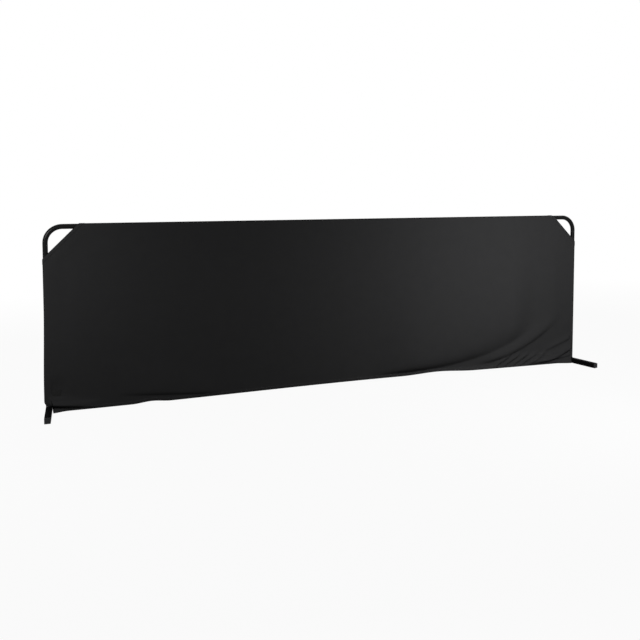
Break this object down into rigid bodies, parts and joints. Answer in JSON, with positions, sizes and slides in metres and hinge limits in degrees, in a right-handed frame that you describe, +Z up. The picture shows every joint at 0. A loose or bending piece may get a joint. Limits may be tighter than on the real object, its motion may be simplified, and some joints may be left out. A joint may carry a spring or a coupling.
{
  "type": "table tennis barrier",
  "caption": "Free-standing court surround barrier: bent tube frame with a black cloth cover on two swivelling bar feet.",
  "frame": {"origin": "on the floor, in the middle of the footprint; the barrier's own middle is 18.6 mm towards -X of it, because the right foot is turned outwards", "axes": "+X along the barrier to its right end seen from the front, -Y the front, +Z up"},
  "size_m": [2.3704, 0.29, 0.7021],
  "materials": {
    "frame_paint": "satin black powder coat on steel tube",
    "foot_paint": "matt black powder coat on square steel tube",
    "cap_plastic": "black moulded plastic, slightly lighter than the bars",
    "zinc_steel": "zinc plated steel",
    "washer_nylon": "black nylon",
    "cover_cloth": "closely woven black polyester with a faint sheen",
    "binding_tape": "black woven tape",
    "hook_tape": "black hook and loop tape"
  },
  "bodies": {
    "frame": {"left_upright_tube": "frame_paint", "right_upright_tube": "frame_paint", "left_corner_bend": "frame_paint", "right_corner_bend": "frame_paint", "left_rail_tube": "frame_paint", "right_rail_tube": "frame_paint", "rail_spigot": "zinc_steel", "left_rail_screw": "zinc_steel", "right_rail_screw": "zinc_steel", "left_upright_plug": "zinc_steel", "right_upright_plug": "zinc_steel", "left_pivot_bolt": "zinc_steel", "right_pivot_bolt": "zinc_steel", "left_spring_washer": "zinc_steel", "right_spring_washer": "zinc_steel", "left_swivel_washer": "washer_nylon", "right_swivel_washer": "washer_nylon", "cover_front_panel": "cover_cloth", "cover_back_panel": "cover_cloth", "cover_front_hem": "cover_cloth", "cover_back_hem": "cover_cloth", "left_corner_binding": "binding_tape", "right_corner_binding": "binding_tape", "left_hook_tab": "hook_tape", "right_hook_tab": "hook_tape", "left_loop_patch": "hook_tape", "right_loop_patch": "hook_tape"},
    "left_foot": {"left_foot_bar": "foot_paint", "left_foot_front_cap": "cap_plastic", "left_foot_rear_cap": "cap_plastic"},
    "right_foot": {"right_foot_bar": "foot_paint", "right_foot_front_cap": "cap_plastic", "right_foot_rear_cap": "cap_plastic"}
  },
  "joints": [
    {"name": "left_foot_swivel", "type": "hinge", "parent": "frame", "child": "left_foot", "pos_m": [-1.17408, 0, 0.011], "axis": [0, 0, 1], "range_deg": [-90, 90], "deforming": ["cover_front_hem", "cover_back_hem"]},
    {"name": "right_foot_swivel", "type": "hinge", "parent": "frame", "child": "right_foot", "pos_m": [1.13692, 0, 0.011], "axis": [0, 0, 1], "range_deg": [-105, 75], "deforming": ["cover_front_hem", "cover_back_hem"]}
  ]
}
